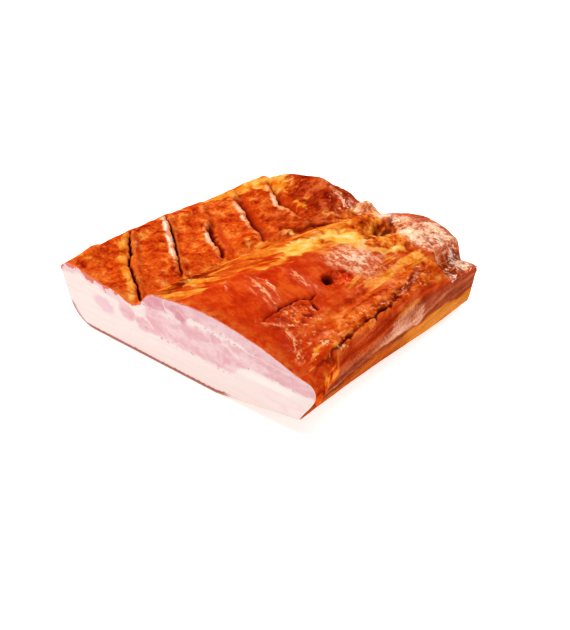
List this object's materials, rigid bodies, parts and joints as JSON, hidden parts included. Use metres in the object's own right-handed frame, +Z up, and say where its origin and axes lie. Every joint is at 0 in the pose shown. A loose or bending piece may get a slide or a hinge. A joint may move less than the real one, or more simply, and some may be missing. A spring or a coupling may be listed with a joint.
{
  "type": "smoked pork belly slab",
  "caption": "Thick slab of smoked, cooked pork belly lying on its rind, with rib slits, a fat seam and a hook hole on top and a fresh cut of layered fat and lean at one end.",
  "frame": {"origin": "bottom centre of the slab's box, on the surface that the rind rests on", "axes": "+Z up through the slab's thickness, +X along the fresh cut from the thin rib half to the thick flank, +Y from the cut to the far end"},
  "size_m": [0.2304, 0.22, 0.0613],
  "materials": {
    "smoked_meat": "glossy smoked crust, orange-red lean with amber fat seams; the cut is pink lean in creamy white fat, the rind is leathery brown"
  },
  "bodies": {
    "root": {"pork_belly": "smoked_meat"}
  },
  "joints": []
}
